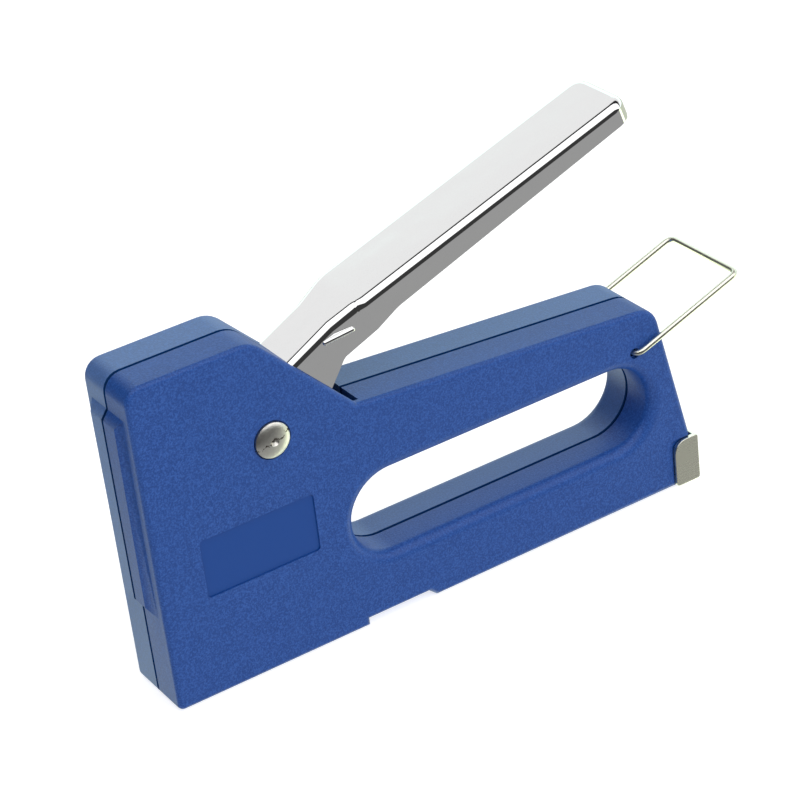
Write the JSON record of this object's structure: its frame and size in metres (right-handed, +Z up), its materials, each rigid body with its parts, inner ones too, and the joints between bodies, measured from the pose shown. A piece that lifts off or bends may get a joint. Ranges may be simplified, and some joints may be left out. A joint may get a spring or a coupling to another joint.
{
  "type": "staple gun",
  "caption": "Light-duty hand staple gun: moulded two-half body with a finger opening, pressed lever on a rivet, spring-driven blade, rear-loading staple drawer and a wire latch.",
  "frame": {"origin": "foot of the nose plate on the sole, in the parting plane, where the staples leave", "axes": "+X from the nose to the tail, +Y towards the side the screws are driven from, +Z up from the sole"},
  "size_m": [0.1826, 0.0303, 0.1174],
  "materials": {
    "blue_plastic": "moulded, finely spark-textured",
    "chrome_sheet": "bright chrome plating",
    "nickel_plate": "bright nickel plating",
    "bright_steel": "plain zinc-plated steel",
    "dark_steel": "oiled spring and sheet steel",
    "black_rubber": "moulded rubber"
  },
  "bodies": {
    "body": {"housing_right": "blue_plastic", "housing_left": "blue_plastic", "nose_plate": "bright_steel", "magazine_channel": "dark_steel", "bumper": "black_rubber", "spring_seat": "bright_steel", "pivot_rivet": "nickel_plate", "pivot_washer": "nickel_plate", "housing_screw_1": "bright_steel", "housing_screw_2": "bright_steel", "housing_screw_3": "bright_steel", "housing_screw_4": "bright_steel", "power_spring": "dark_steel"},
    "lever": {"lever": "chrome_sheet", "return_spring": "bright_steel"},
    "plunger": {"plunger": "dark_steel", "lift_pin": "bright_steel", "blade_pin": "bright_steel", "driver_blade": "bright_steel"},
    "drawer": {"staple_rail": "bright_steel", "rear_cap": "nickel_plate", "rail_end_block": "dark_steel", "cap_rivet": "nickel_plate", "pusher_rod": "bright_steel", "pusher_spring": "bright_steel", "staple_strip": "bright_steel"},
    "pusher": {"pusher": "dark_steel"},
    "latch": {"latch_wire": "nickel_plate"}
  },
  "joints": [
    {"name": "lever_press", "type": "hinge", "parent": "body", "child": "lever", "pos_m": [0.0333, 0, 0.0643], "axis": [0, 1, 0], "range_deg": [0, 24], "stiffness_Nm_per_rad": 6, "springref_deg": -8.59},
    {"name": "plunger_lift", "type": "slide", "parent": "body", "child": "plunger", "axis": [0, 0, 1], "range_m": [0, 0.0105], "deforming": ["power_spring"]},
    {"name": "latch_swing", "type": "hinge", "parent": "body", "child": "latch", "pos_m": [0.1424, 0, 0.04565], "axis": [0, 1, 0], "range_deg": [-112, 60]},
    {"name": "magazine_drawer", "type": "slide", "parent": "body", "child": "drawer", "axis": [1, 0, 0], "range_m": [0, 0.095]},
    {"name": "pusher_slide", "type": "slide", "parent": "drawer", "child": "pusher", "axis": [1, 0, 0], "range_m": [0, 0.055], "stiffness_N_per_m": 30, "springref_m": -0.03, "deforming": ["pusher_spring"]}
  ],
  "couplings": [
    {"joint": "plunger_lift", "follows": "lever_press", "m_per_rad": 0.02497}
  ]
}
